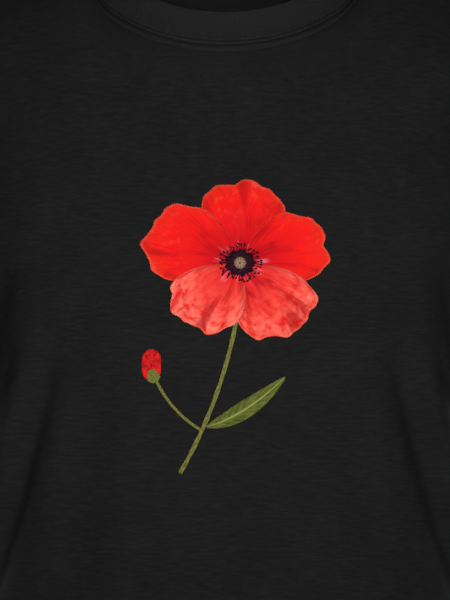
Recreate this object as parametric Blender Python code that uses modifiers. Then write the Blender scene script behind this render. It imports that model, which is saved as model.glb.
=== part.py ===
# A crew-neck T-shirt, hollow and filled out as on a wearer: front and back panels, two set-in short
# sleeves, a ribbed neckband, the tape inside the back of the neck, and the ink of a flower print.
# Metres, +Z up, front towards -Y. The origin is midway between the two points where the neck seam
# meets the shoulder seams, where the shirt hangs on its wearer.

import math

import bmesh
import bpy
import numpy as np
from mathutils import Vector

# Heights
HEM_Z = -0.680
UNDERARM_Z = -0.235
YOKE_Z = -0.135  # where the armhole is deepest, front to back

# The body's level section at four heights: half width, depth in front, depth behind
BODY_STATIONS = (
    (HEM_Z, 0.214, 0.130, 0.110),
    (-0.450, 0.199, 0.120, 0.094),
    (UNDERARM_Z, 0.190, 0.125, 0.096),
    (YOKE_Z, 0.200, 0.106, 0.088),
)
FULLNESS = 2.4  # 2 is an ellipse, more is squarer

# Neck seam and shoulders
NECK_HALF_WIDTH = 0.105
NECK_DEPTH = {-1: 0.084, 1: 0.060}  # front and back
NECK_DROP = {-1: 0.072, 1: 0.012}
NECK_SLOPE = {-1: 0.55, 1: 0.30}  # how far the cloth leans in, for each metre up, at the seam
SHOULDER_TIP = (0.206, -0.056)
SHOULDER_BOW = 0.004
ARMHOLE_HALF_DEPTH = 0.064

# Cloth
JERSEY = 0.0009
HEM = 0.0018
HEM_WIDTH = 0.022
RIB = 0.0020
RIB_WIDTH = 0.023
RIB_LEAN = {-1: 0.32, 1: 0.25}  # how far the rib leans over the neck, for each metre up
RIB_SIDE_LEAN = 0.8
TAPE = 0.0008
TAPE_WIDTH = 0.011
SEAM_GAP = 0.0006
BAND_GAP = 0.0009
INSIDE = np.array((0, 0, -0.3))  # a point inside the body
TAPE_GAP = 0.0005

# Sleeves
SLEEVE_LENGTH = 0.215  # along the top, from the shoulder tip
SLEEVE_SLOPE = math.radians(44)  # below level
SLEEVE_DROOP = 0.006
SLEEVE_START_GAP = 0.0008
CUFF_HALF_HEIGHT = 0.061
CUFF_HALF_DEPTH = 0.051

# Folds of the front: start and end (x, z), half width, height; both sides of the body have them
FRONT_FOLDS = (
    ((0.112, -0.300), (0.185, -0.640), 0.016, -0.0075),
    ((0.140, -0.320), (0.212, -0.640), 0.018, 0.0080),
    ((0.158, -0.190), (0.143, -0.290), 0.012, -0.0060),
)
BACK_FOLDS = (
    ((0.100, -0.330), (0.160, -0.660), 0.020, -0.0070),
    ((0.140, -0.300), (0.190, -0.640), 0.020, 0.0070),
)
HEM_WAVE = 0.0050
HEM_WAVES = 4.5  # across half a panel's width, counted in half turns

# How finely the cloth is faceted
HALF_COLUMNS = 14
NECK_COLUMNS = 8  # of a half's columns, those that end at the neck seam
BODY_ROWS = 16
RIB_ROWS = (0, 0.5, 1)
TAPE_COLUMNS = 12
TAPE_REACH = 0.7  # of the way from the middle of the back to the shoulder
ARMHOLE_ROWS = 5
YOKE_ROWS = 6
SLEEVE_ROWS = 6
COLLAR_COLUMNS = 44

# Print, in the plane of the chest: x and z of the bloom's centre
INK = 0.0004
INK_GAP = 0.0005
BLOOM = (0.010, -0.220)
BLOOM_SQUASH = 0.88
PETALS = ((18, 0.060), (88, 0.062), (158, 0.066), (232, 0.058), (306, 0.063))  # degrees, length
PETAL_HALF_ANGLE = 50
EYE_RADIUS = 0.0145
INNER_RING = 0.12  # the first ring's share of the radius
BLOOM_RINGS = 5
BLOOM_SPOKES = 60
STEM = ((0.0083, -0.2632), (-0.002, -0.312), (-0.030, -0.360))  # start, pull, end
STEM_HALF_WIDTH = 0.0014
LEAF = ((-0.0107, -0.3285), (0.012, -0.323), (0.040, -0.296))
LEAF_HALF_WIDTH = 0.0055
STALK = ((-0.0170, -0.3312), (-0.036, -0.319), (-0.0462, -0.3000))
BUD = (-0.049, -0.288)
BUD_RADIUS = 0.0085


def material(name, colour, roughness):
    made = bpy.data.materials.new(name)
    made.use_nodes = True
    shader = made.node_tree.nodes["Principled BSDF"]
    shader.inputs["Base Color"].default_value = (*colour, 1)
    shader.inputs["Roughness"].default_value = roughness
    shader.inputs["Metallic"].default_value = 0
    return made


# Points of a curve, moved along it to be evenly spaced
def even(points, count):
    steps = np.linalg.norm(np.diff(points, axis=0), axis=1)
    along = np.concatenate(([0], np.cumsum(steps)))
    wanted = np.linspace(0, along[-1], count + 1)
    return np.stack([np.interp(wanted, along, points[:, i]) for i in range(3)], axis=1)


def body_size(z):
    stations = np.array(BODY_STATIONS)
    return [float(np.polyval(np.polyfit(stations[:, 0], stations[:, i], 3), z)) for i in (1, 2, 3)]


# How far a fold stands out of the smooth body at (x, z), fading at the fold's ends
def fold_height(x, z, folds):
    height = np.zeros_like(x)
    for start, end, half_width, size in folds:
        start, end = np.array(start), np.array(end)
        run = end - start
        offset = np.stack((np.abs(x) - start[0], np.full_like(x, z) - start[1]), axis=-1)
        along = offset @ run / (run @ run)
        across = (offset @ np.array((run[1], -run[0]))) / np.linalg.norm(run)
        fade = np.clip(np.minimum(along + 0.15, 1.15 - along) / 0.3, 0, 1)
        height += size * np.exp(-((across / half_width) ** 2)) * fade * fade * (3 - 2 * fade)
    return height


# Half of the body's section at height z, from the centre line round to edge_depth from the side
def half_section(z, side, edge_depth, count=HALF_COLUMNS):
    width, front, back = body_size(z)
    depth = front if side < 0 else back
    last = math.acos((edge_depth / depth) ** (FULLNESS / 2))
    angle = np.linspace(0, last, 160)
    sine, cosine = np.sin(angle), np.maximum(np.cos(angle), 0)
    x = width * sine ** (2 / FULLNESS)
    y = side * depth * cosine ** (2 / FULLNESS)
    low = np.clip((UNDERARM_Z - 0.1 - z) / (UNDERARM_Z - 0.1 - HEM_Z), 0, 1)
    wave = HEM_WAVE * low * low * np.sin(math.pi * HEM_WAVES * angle / (math.pi / 2)) * sine * cosine * 2
    out = fold_height(x, z, FRONT_FOLDS if side < 0 else BACK_FOLDS) * cosine + wave
    normal = np.stack((x / width**2, y / depth**2, 0 * x), axis=1)
    normal /= np.linalg.norm(normal, axis=1)[:, None]
    return even(np.stack((x, y, 0 * x + z), axis=1) + normal * out[:, None], count)


# The neck seam, as a quarter turn from the centre line (0) to the shoulder (1)
def neck_point(turn, side):
    angle = turn * math.pi / 2
    return np.array((
        NECK_HALF_WIDTH * math.sin(angle),
        side * (NECK_DEPTH[side] * math.cos(angle) + SEAM_GAP / 2),
        -NECK_DROP[side] * math.cos(angle),
    ))


# Which way the rib runs from the neck seam
def rib_way(turn, side):
    angle = turn * math.pi / 2
    way = np.array((-RIB_SIDE_LEAN * math.sin(angle), -side * RIB_LEAN[side] * math.cos(angle), 1.0))
    return way / np.linalg.norm(way)


# Which way the panel runs where it reaches the neck seam: up the chest or back in the middle, and
# level over the shoulder at the corner
def panel_way(turn, side):
    over = turn * turn
    up = np.array((0, -side * NECK_SLOPE[side], 1.0))
    way = up * (1 - over) + np.array((0, -side, 0)) * over
    return way / np.linalg.norm(way)


# The top edge of half a panel: along the neck seam, then along the shoulder seam
def top_edge(side):
    neck = even(np.array([neck_point(t, side) for t in np.linspace(0, 1, 60)]), NECK_COLUMNS)
    corner, tip = neck[-1], np.array((SHOULDER_TIP[0], neck[-1][1], SHOULDER_TIP[1]))
    count = HALF_COLUMNS - NECK_COLUMNS
    along = np.arange(1, count + 1)[:, None] / count
    shoulder = corner + (tip - corner) * along
    shoulder[:, 2] += SHOULDER_BOW * np.sin(along[:, 0] * math.pi)
    ways = [panel_way(i / NECK_COLUMNS, side) for i in range(NECK_COLUMNS + 1)]
    return np.concatenate((neck, shoulder)), np.array(ways + [panel_way(1, side)] * count)


# Rows of points of half a panel, from the hem to the top edge
def half_panel(side):
    seam = SEAM_GAP / 2
    rows = [half_section(z, side, seam) for z in np.linspace(HEM_Z, UNDERARM_Z, BODY_ROWS + 1)]
    rows.insert(1, half_section(HEM_Z + HEM_WIDTH, side, seam))
    for i in range(1, ARMHOLE_ROWS + 1):
        turn = i / ARMHOLE_ROWS * math.pi / 2
        z = UNDERARM_Z + (YOKE_Z - UNDERARM_Z) * (1 - math.cos(turn))
        rows.append(half_section(z, side, seam + ARMHOLE_HALF_DEPTH * math.sin(turn)))
    yoke, (top, arrive) = rows[-1], top_edge(side)
    below = half_section(YOKE_Z - 0.004, side, seam + ARMHOLE_HALF_DEPTH)
    leave = (yoke - below) / np.linalg.norm(yoke - below, axis=1)[:, None]
    reach = np.linalg.norm(top - yoke, axis=1)[:, None]
    for i in range(1, YOKE_ROWS + 1):
        t = i / YOKE_ROWS
        rows.append(
            (2 * t**3 - 3 * t**2 + 1) * yoke
            + (t**3 - 2 * t**2 + t) * leave * reach * 1.15
            + (3 * t**2 - 2 * t**3) * top
            + (t**3 - t**2) * arrive * reach * 1.05
        )
    return np.array(rows)


def mirrored(rows):
    other = rows[:, :0:-1].copy()
    other[:, :, 0] *= -1
    return np.concatenate((other, rows), axis=1)


# A sheet through a grid of points, facing away from the inside point. A capped one has a face in its
# first ring.
def sheet(name, grid, inside, closed=False, capped=False):
    mesh = bmesh.new()
    rows, columns = grid.shape[:2]
    points = [[mesh.verts.new(p) for p in row] for row in grid]
    for r in range(rows - 1):
        for c in range(columns if closed else columns - 1):
            n = (c + 1) % columns
            mesh.faces.new((points[r][c], points[r][n], points[r + 1][n], points[r + 1][c]))
    if capped:
        mesh.faces.new(points[0][::-1])
    mesh.normal_update()
    middle = Vector(inside)
    facing = sum((f.calc_center_median() - middle).dot(f.normal) * f.calc_area() for f in mesh.faces)
    if facing < 0:
        bmesh.ops.reverse_faces(mesh, faces=mesh.faces)
    data = bpy.data.meshes.new(name)
    mesh.to_mesh(data)
    mesh.free()
    made = bpy.data.objects.new(name, data)
    shirt.objects.link(made)
    data.shade_smooth()
    return made


# Gives a sheet its thickness, inwards or outwards, with the rows near a hem at the hem's own
def thicken(made, thickness, outwards=False, hem_rows=0, columns=0):
    solid = made.modifiers.new("thickness", "SOLIDIFY")
    solid.thickness = HEM if hem_rows else thickness
    solid.offset = 1 if outwards else -1
    solid.use_even_offset = True
    if hem_rows:
        hem = made.vertex_groups.new(name="hem")
        hem.add(list(range(hem_rows * columns)), 1, "REPLACE")
        solid.vertex_group = hem.name
        solid.thickness_vertex_group = thickness / HEM


def make_panel(name, side, cloth):
    grid = mirrored(half_panel(side))
    made = sheet(name, grid, INSIDE)
    thicken(made, JERSEY, hem_rows=2, columns=grid.shape[1])
    made.data.materials.append(cloth)


# The armhole as a ring, from the underarm up the front to the shoulder tip and down the back
def armhole():
    front, back = (half_panel(side)[BODY_ROWS + 1 :, -1] for side in (-1, 1))
    ring = np.concatenate((front, back[-2:0:-1]))
    ring[0] = (front[0] + back[0]) / 2
    ring[len(front) - 1] = (front[-1] + back[-1]) / 2
    return ring


def make_sleeve(name, wearer_side, cloth):
    ring = armhole()
    axis = np.array((math.cos(SLEEVE_SLOPE), 0, -math.sin(SLEEVE_SLOPE)))
    up = np.array((math.sin(SLEEVE_SLOPE), 0, math.cos(SLEEVE_SLOPE)))
    shoulder_way = np.array((SHOULDER_TIP[0] - NECK_HALF_WIDTH, 0, SHOULDER_TIP[1]))
    shoulder_way /= np.linalg.norm(shoulder_way)
    tip = ring[len(ring) // 2]
    centre = tip + axis * SLEEVE_LENGTH - up * (CUFF_HALF_HEIGHT - SLEEVE_DROOP)
    angle = np.arange(len(ring)) / len(ring) * 2 * math.pi
    top = (0.5 - 0.5 * np.cos(angle))[:, None]
    cuff = centre - np.outer(np.cos(angle) * CUFF_HALF_HEIGHT, up)
    cuff[:, 1] = -np.sin(angle) * CUFF_HALF_DEPTH
    leave = axis * (1 - top) + (axis + shoulder_way) / 2 * top
    leave /= np.linalg.norm(leave, axis=1)[:, None]
    start = ring + leave * SLEEVE_START_GAP
    reach = np.linalg.norm(cuff - start, axis=1)[:, None]
    hem_start = 1 - HEM_WIDTH / SLEEVE_LENGTH
    steps = np.concatenate((np.linspace(0, hem_start, SLEEVE_ROWS), (1,)))
    rows = [
        (2 * t**3 - 3 * t**2 + 1) * start
        + (t**3 - 2 * t**2 + t) * leave * reach
        + (3 * t**2 - 2 * t**3) * cuff
        + (t**3 - t**2) * axis * reach
        for t in steps[::-1]
    ]
    grid = np.array(rows) * (wearer_side, 1, 1)
    made = sheet(name, grid, (centre + tip) / 2 * (wearer_side, 1, 1), closed=True)
    thicken(made, JERSEY, hem_rows=2, columns=grid.shape[1])
    made.data.materials.append(cloth)


# A turn round the neck from 0 at the front, over +X, as the quarter's own turn, side and mirror
def quarter(fraction):
    around = fraction * 4 % 4
    turn = around % 1
    if around < 1:
        return turn, -1, 1
    if around < 2:
        return 1 - turn, 1, 1
    if around < 3:
        return turn, 1, -1
    return 1 - turn, -1, -1


def make_neckband(cloth):
    rows = []
    for height in RIB_ROWS:
        row = []
        for i in range(COLLAR_COLUMNS):
            turn, side, mirror = quarter(i / COLLAR_COLUMNS)
            start = neck_point(turn, side) + rib_way(turn, side) * (BAND_GAP + RIB_WIDTH * height)
            row.append(start * (mirror, 1, 1))
        rows.append(row)
    made = sheet("neckband", np.array(rows), np.array((0, 0, -0.03)), closed=True)
    thicken(made, RIB)
    made.data.materials.append(cloth)


def inward(turn, way):
    along = neck_point(min(turn + 0.01, 1), 1) - neck_point(turn - 0.01, 1)
    normal = np.cross(along, way)
    normal /= np.linalg.norm(normal)
    return normal if normal @ np.array((0, -1, -0.5)) > 0 else -normal


def make_neck_tape(cloth):
    rows = [[], [], []]
    for i in range(-TAPE_COLUMNS, TAPE_COLUMNS + 1):
        turn, mirror = abs(i) / TAPE_COLUMNS * TAPE_REACH, math.copysign(1, i)
        seam = neck_point(turn, 1)
        rib, panel = rib_way(turn, 1), panel_way(turn, 1)
        off_rib, off_panel = inward(turn, rib), inward(turn, panel)
        corner = off_rib + off_panel
        corner *= (RIB + TAPE_GAP) / (corner @ off_rib)
        for row, point in zip(rows, (
            seam + rib * TAPE_WIDTH * 0.3 + off_rib * (RIB + TAPE_GAP),
            seam + corner,
            seam - panel * TAPE_WIDTH * 0.7 + off_panel * (RIB + TAPE_GAP),
        )):
            row.append(point * (mirror, 1, 1))
    made = sheet("neck_tape", np.array(rows), np.array((0, 0.3, 0.1)))
    thicken(made, TAPE, outwards=True)
    made.data.materials.append(cloth)


# The chest's own surface at (x, z)
def chest_y(x, z):
    half = half_section(z, -1, SEAM_GAP / 2, 120)
    return float(np.interp(abs(x), half[:, 0], half[:, 1]))


# A flat grid of (x, z) points laid on the chest as a film of ink, off the cloth by a gap
def make_ink(name, grid, colour, round_area=False, layer=0):
    off = INK_GAP + layer * (INK + INK_GAP)
    laid = np.array([[(x, chest_y(x, z) - off, z) for x, z in row] for row in grid])
    made = sheet(name, laid, np.array((0, 0.2, -0.25)), round_area, round_area)
    thicken(made, INK, outwards=True)
    made.data.materials.append(colour)
    return made


# How far the bloom reaches at an angle: the longest of the petals there
def bloom_radius(angle):
    reach = 0
    for degrees, length in PETALS:
        off = (angle - math.radians(degrees) + math.pi) % (2 * math.pi) - math.pi
        part = abs(off) / math.radians(PETAL_HALF_ANGLE)
        if part < 1:
            reach = max(reach, length * math.sqrt(1 - part**2.6))
    return reach * (1 + 0.025 * math.cos(13 * angle) + 0.015 * math.sin(22 * angle))


# A round area of ink as rings of points, out from a small first ring
def ring_grid(centre, radius_at, rings, spokes):
    grid = []
    for i in range(rings + 1):
        share = INNER_RING + (1 - INNER_RING) * i / rings
        row = []
        for k in range(spokes):
            angle = k / spokes * 2 * math.pi
            radius = radius_at(angle) * share
            row.append((
                centre[0] + radius * math.cos(angle),
                centre[1] + radius * math.sin(angle) * BLOOM_SQUASH,
            ))
        grid.append(row)
    return grid


# A long area of ink along a curve through three points, with its half width given along it
def strip_grid(start, middle, end, half_width_at, steps):
    start, middle, end = np.array(start), np.array(middle), np.array(end)
    grid = []
    for i in range(steps + 1):
        t = i / steps
        point = (1 - t) ** 2 * start + 2 * t * (1 - t) * middle + t * t * end
        run = 2 * (1 - t) * (middle - start) + 2 * t * (end - middle)
        across = np.array((run[1], -run[0])) / np.linalg.norm(run) * half_width_at(t)
        grid.append([point - across, point, point + across])
    return grid


def make_print():
    red = material("red ink", (0.62, 0.02, 0.012), 0.8)
    dark = material("dark ink", (0.03, 0.008, 0.015), 0.8)
    green = material("green ink", (0.16, 0.20, 0.03), 0.8)
    bloom = ring_grid(BLOOM, bloom_radius, BLOOM_RINGS, BLOOM_SPOKES)
    make_ink("print_bloom", bloom, red, round_area=True)
    eye = ring_grid(BLOOM, lambda angle: EYE_RADIUS * (1 + 0.1 * math.cos(9 * angle)), 2, 36)
    make_ink("print_eye", eye, dark, round_area=True, layer=1)
    make_ink("print_stem", strip_grid(*STEM, lambda t: STEM_HALF_WIDTH, 12), green)
    make_ink("print_leaf", strip_grid(*LEAF, leaf_half_width, 12), green)
    make_ink("print_stalk", strip_grid(*STALK, lambda t: STEM_HALF_WIDTH * 0.7, 10), green)
    bud = ring_grid(BUD, lambda angle: BUD_RADIUS * (1 - 0.25 * math.cos(2 * angle)), 2, 20)
    make_ink("print_bud", bud, red, round_area=True)


def leaf_half_width(t):
    return LEAF_HALF_WIDTH * (0.12 + math.sin(math.pi * t) ** 0.8)


for old in list(bpy.data.objects):
    bpy.data.objects.remove(old, do_unlink=True)
shirt = bpy.data.collections.new("t_shirt")
bpy.context.scene.collection.children.link(shirt)

jersey = material("black cotton jersey", (0.012, 0.012, 0.012), 0.9)
rib = material("black cotton rib", (0.013, 0.013, 0.013), 0.9)
tape = material("black cotton tape", (0.015, 0.015, 0.015), 0.9)
make_panel("front_panel", -1, jersey)
make_panel("back_panel", 1, jersey)
make_sleeve("sleeve_left", 1, jersey)
make_sleeve("sleeve_right", -1, jersey)
make_neckband(rib)
make_neck_tape(tape)
make_print()
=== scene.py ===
# A black crew-neck T-shirt of cotton jersey, filled out as on a wearer, with a flower printed on its chest.
import math
from functools import partial

import bmesh
import bpy
import numpy as np
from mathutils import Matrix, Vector
from mathutils.bvhtree import BVHTree


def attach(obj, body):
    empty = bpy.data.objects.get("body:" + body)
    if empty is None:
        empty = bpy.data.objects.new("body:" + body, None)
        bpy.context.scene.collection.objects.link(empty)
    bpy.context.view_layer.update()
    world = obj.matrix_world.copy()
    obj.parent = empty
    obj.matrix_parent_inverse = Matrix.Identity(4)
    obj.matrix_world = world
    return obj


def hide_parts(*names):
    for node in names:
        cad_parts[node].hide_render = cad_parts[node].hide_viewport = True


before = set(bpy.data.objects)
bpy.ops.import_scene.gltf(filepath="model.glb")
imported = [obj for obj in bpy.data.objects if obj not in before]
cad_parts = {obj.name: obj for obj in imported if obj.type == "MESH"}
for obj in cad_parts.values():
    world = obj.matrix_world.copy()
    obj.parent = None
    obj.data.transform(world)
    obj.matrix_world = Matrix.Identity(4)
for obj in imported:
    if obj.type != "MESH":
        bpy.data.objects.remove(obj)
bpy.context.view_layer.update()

front, back = -1, 1  # the two sides of the shirt, as signs of Y

# The shirt as it is worn, before it drapes. Stations are height, half width, depth in front, depth behind.
worn = {
    "hem": -0.680, "underarm": -0.235, "yoke": -0.135,
    "stations": ((-0.680, 0.214, 0.130, 0.110), (-0.450, 0.199, 0.120, 0.094),
                 (-0.235, 0.190, 0.125, 0.096), (-0.135, 0.200, 0.106, 0.088)),
    "fullness": 2.4,
    "neckHalfWidth": 0.105, "neckDepth": {front: 0.084, back: 0.060}, "neckDrop": {front: 0.072, back: 0.012},
    "neckSlope": {front: 0.55, back: 0.30}, "shoulderTip": (0.206, -0.056), "shoulderBow": 0.004,
    "armholeHalfDepth": 0.064, "yokeLeave": 1.15, "yokeArrive": 1.05,
    "sleeveLength": 0.215, "sleeveSlope": math.radians(44), "sleeveDroop": 0.006,
    "cuffHalfHeight": 0.061, "cuffHalfDepth": 0.051,
}
# The wearer's body under it, which is taken away again
bodyForm = dict(worn, stations=((-0.800, 0.172, 0.106, 0.104), (-0.470, 0.150, 0.100, 0.078),
                                (-0.235, 0.166, 0.119, 0.089), (-0.135, 0.184, 0.101, 0.083)), hem=-0.800)
# The pattern it is sewn from, laid flat: x out from the centre line, z down from the neck point
pattern = {
    "halfChest": 0.252, "length": 0.747, "underarm": -0.272, "yoke": -0.165, "crossHalfWidth": 0.197,
    "neckHalfWidth": 0.105, "neckDepth": {front: 0, back: 0}, "neckDrop": {front: 0.112, back: 0.050},
    "neckSlope": {front: 0, back: 0}, "shoulderTip": (0.219, -0.047), "shoulderBow": 0,
    "sleeveLength": 0.230, "sleeveSlope": math.radians(24), "cuffWidth": 0.178,
}
# How many columns and rows of points each piece is draped with
mesh = {
    "halfColumns": 28, "neckColumns": 15, "bodyRows": 48, "armholeRows": 12, "yokeRows": 12, "sleeveRows": 20,
}


# A line of points put at even distances
def even(points, count):
    steps = np.linalg.norm(np.diff(points, axis=0), axis=1)
    along = np.concatenate(([0], np.cumsum(steps)))
    wanted = np.linspace(0, along[-1], count + 1)
    return np.stack([np.interp(wanted, along, points[:, i]) for i in range(points.shape[1])], axis=1)


def unit(vectors):
    return vectors / np.linalg.norm(vectors, axis=-1, keepdims=True)


def hermite(start, leave, end, arrive, t):
    return ((2 * t**3 - 3 * t**2 + 1) * start + (t**3 - 2 * t**2 + t) * leave
            + (3 * t**2 - 2 * t**3) * end + (t**3 - t**2) * arrive)


# Half of the level section at a height, from the centre line to edgeDepth from the side
def halfSection(shape, z, side, edgeDepth, count):
    stations = np.array(shape["stations"])
    fits = [np.polyfit(stations[:, 0], stations[:, i], 3) for i in (1, 2, 3)]
    width, frontDepth, backDepth = (float(np.polyval(fit, z)) for fit in fits)
    depth = frontDepth if side == front else backDepth
    last = math.acos((edgeDepth / depth) ** (shape["fullness"] / 2))
    angle = np.linspace(0, last, 200)
    x = width * np.sin(angle) ** (2 / shape["fullness"])
    y = side * depth * np.maximum(np.cos(angle), 0) ** (2 / shape["fullness"])
    return even(np.stack((x, y, 0 * x + z), axis=1), count)


def neckPoint(shape, turn, side):
    across, along = math.sin(turn * math.pi / 2), math.cos(turn * math.pi / 2)
    return np.array((shape["neckHalfWidth"] * across, side * shape["neckDepth"][side] * along,
                     -shape["neckDrop"][side] * along))


# Which way a panel leaves the neck seam, from upright at the centre to flat at the shoulder
def panelWay(shape, turn, side):
    up = np.array((0, -side * shape["neckSlope"][side], 1.0))
    return unit(up * (1 - turn * turn) + np.array((0, -side, 0.0)) * turn * turn)


# A panel's top edge, from the centre of the neck out to the shoulder's tip, and its way at each point
def topEdge(shape, side, m):
    neck = even(np.array([neckPoint(shape, t, side) for t in np.linspace(0, 1, 90)]), m["neckColumns"])
    count = m["halfColumns"] - m["neckColumns"]
    along = np.arange(1, count + 1)[:, None] / count
    tip = np.array((shape["shoulderTip"][0], 0, shape["shoulderTip"][1]))
    shoulder = neck[-1] + (tip - neck[-1]) * along
    shoulder[:, 2] += shape["shoulderBow"] * np.sin(along[:, 0] * math.pi)
    turns = np.minimum(np.arange(m["halfColumns"] + 1) / m["neckColumns"], 1)
    return np.concatenate((neck, shoulder)), np.array([panelWay(shape, turn, side) for turn in turns])


# The height of each row of a panel from its hem to the yoke, and how far its edge has turned in by then
def rowHeights(shape, hem, m):
    rows = [(z, 0.0) for z in np.linspace(hem, shape["underarm"], m["bodyRows"] + 1)]
    for i in range(1, m["armholeRows"] + 1):
        turn = (i / m["armholeRows"]) ** 0.5 * math.pi / 2
        z = shape["underarm"] + (shape["yoke"] - shape["underarm"]) * (1 - math.cos(turn))
        rows.append((z, math.sin(turn)))
    return rows


# A whole panel as worn, as rows of points from the hem up, each from the wearer's right to left
def wornPanel(shape, side, m):
    def section(z, inward):
        return halfSection(shape, z, side, shape["armholeHalfDepth"] * inward, m["halfColumns"])

    rows = [section(z, inward) for z, inward in rowHeights(shape, shape["hem"], m)]
    yoke, (top, arrive) = rows[-1], topEdge(shape, side, m)
    leave = unit(yoke - section(shape["yoke"] - 0.004, 1)) * shape["yokeLeave"]
    reach = np.linalg.norm(top - yoke, axis=1)[:, None]
    for i in range(1, m["yokeRows"] + 1):
        rows.append(hermite(yoke, leave * reach, top, arrive * shape["yokeArrive"] * reach, i / m["yokeRows"]))
    return mirrored(np.array(rows))


def mirrored(rows):
    other = rows[:, :0:-1].copy()
    other[:, :, 0] *= -1
    return np.concatenate((other, rows), axis=1)


# The same panel laid flat, point for point
def flatPanel(side, m):
    p, share = pattern, np.linspace(0, 1, m["halfColumns"] + 1)
    rows = []
    for z, inward in rowHeights(p, -p["length"], m):
        edge = p["halfChest"] + (p["crossHalfWidth"] - p["halfChest"]) * inward
        rows.append(np.stack((edge * share, 0 * share, 0 * share + z), axis=1))
    yoke, top = rows[-1], topEdge(p, side, m)[0]
    rows += [yoke * (1 - t) + top * t for t in np.arange(1, m["yokeRows"] + 1) / m["yokeRows"]]
    return mirrored(np.array(rows))


# The armhole's ring of points at one side of the panels: underarm, up the front, shoulder tip, down the back
def armholeRing(frontGrid, backGrid, m, side=-1):
    return np.concatenate((frontGrid[m["bodyRows"]:, side], backGrid[m["bodyRows"]:, side][-2:0:-1]))


# The way out along an arm that slopes down, and the way up from it
def armWays(slope):
    return np.array(((math.cos(slope), 0, -math.sin(slope)), (math.sin(slope), 0, math.cos(slope))))


def wornSleeve(shape, ring, m):
    axis, up = armWays(shape["sleeveSlope"])
    shoulderWay = unit(np.array((shape["shoulderTip"][0] - shape["neckHalfWidth"], 0, shape["shoulderTip"][1])))
    tip = ring[len(ring) // 2]
    centre = tip + axis * shape["sleeveLength"] - up * (shape["cuffHalfHeight"] - shape["sleeveDroop"])
    angle = np.arange(len(ring)) / len(ring) * 2 * math.pi
    top = (0.5 - 0.5 * np.cos(angle))[:, None]
    cuff = centre - np.outer(np.cos(angle) * shape["cuffHalfHeight"], up)
    cuff[:, 1] = -np.sin(angle) * shape["cuffHalfDepth"]
    leave = unit(axis * (1 - top) + (axis + shoulderWay) / 2 * top)
    reach = np.linalg.norm(cuff - ring, axis=1)[:, None]
    along = np.linspace(0, 1, m["sleeveRows"] + 1)
    return np.array([hermite(ring, leave * reach, cuff, axis * reach, t) for t in along])


# The sleeve laid flat, its lower half folded under its upper one
def flatSleeve(ring, m):
    p = pattern
    axis, across = armWays(p["sleeveSlope"])
    half = len(ring) // 2
    top = ring[half] + axis * p["sleeveLength"]
    share = 1 - np.abs(np.arange(len(ring)) - half) / half
    cuff = top - np.outer((1 - share) * p["cuffWidth"], across)
    return np.array([ring * (1 - t) + cuff * t for t in np.linspace(0, 1, m["sleeveRows"] + 1)])


# Gives the back panel the front one's sides and shoulders, where the two are sewn together
def joinEdges(frontGrid, backGrid, m):
    sides = slice(m["bodyRows"] + 1)
    backGrid[sides, [0, -1]] = frontGrid[sides, [0, -1]]
    shoulder = np.abs(np.arange(2 * m["halfColumns"] + 1) - m["halfColumns"]) >= m["neckColumns"]
    backGrid[-1, shoulder] = frontGrid[-1, shoulder]


# One welded cloth of panels and sleeves: the index of each grid point, and how many there are
def weldedIndices(m):
    rows, columns = m["bodyRows"] + m["armholeRows"] + m["yokeRows"] + 1, 2 * m["halfColumns"] + 1
    frontIndex = np.arange(rows * columns).reshape(rows, columns)
    backIndex = frontIndex + rows * columns
    joinEdges(frontIndex, backIndex, m)
    used, sleeves = 2 * rows * columns, []
    for edge in (-1, 0):
        ring = armholeRing(frontIndex, backIndex, m, edge)
        more = used + np.arange(m["sleeveRows"] * len(ring)).reshape(m["sleeveRows"], len(ring))
        used += more.size
        sleeves.append(np.concatenate((ring[None], more)))
    return frontIndex, backIndex, *sleeves, used


def quads(index, closed=False, flip=False):
    if closed:
        index = np.concatenate((index, index[:, :1]), axis=1)
    a, b, c, d = index[:-1, :-1], index[:-1, 1:], index[1:, 1:], index[1:, :-1]
    faces = np.stack((a, b, c, d), axis=-1).reshape(-1, 4)
    return faces[:, ::-1] if flip else faces


def allGrids(shape, m):
    frontGrid, backGrid = wornPanel(shape, front, m), wornPanel(shape, back, m)
    left = wornSleeve(shape, armholeRing(frontGrid, backGrid, m), m)
    return frontGrid, backGrid, left, left * (-1, 1, 1)


def allFlatGrids(m):
    frontGrid, backGrid = flatPanel(front, m), flatPanel(back, m)
    left = flatSleeve(armholeRing(frontGrid, backGrid, m), m)
    half = left.shape[1] // 2
    frontGrid[:, :, 1], backGrid[:, :, 1] = -0.001, 0.001
    left[:, 1:half, 1], left[:, half + 1:, 1] = -0.001, 0.001
    return frontGrid, backGrid, left, left * (-1, 1, 1)


def pointsOf(grids, indices, total):
    points = np.zeros((total, 3))
    for grid, index in zip(grids, indices):
        points[index] = grid
    return points


def newObject(name, data):
    made = bpy.data.objects.new(name, data)
    bpy.context.scene.collection.objects.link(made)
    return made


def meshOf(name, points, faces):
    data = bpy.data.meshes.new(name)
    data.from_pydata(np.array(points).tolist(), [], np.array(faces).tolist())
    data.shade_smooth()
    return data


def appliedMesh(made):
    graph = bpy.context.evaluated_depsgraph_get()
    final = made.evaluated_get(graph)
    return bpy.data.meshes.new_from_object(final, preserve_all_data_layers=True, depsgraph=graph)


upperArm = {"drop": 0.054, "radius": 0.047, "endRadius": 0.042, "length": 0.26, "sides": 24, "rings": 16}
skin = {"clear": 0.005, "grain": 0.009, "smoothing": 0.5, "rounds": 12}


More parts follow.
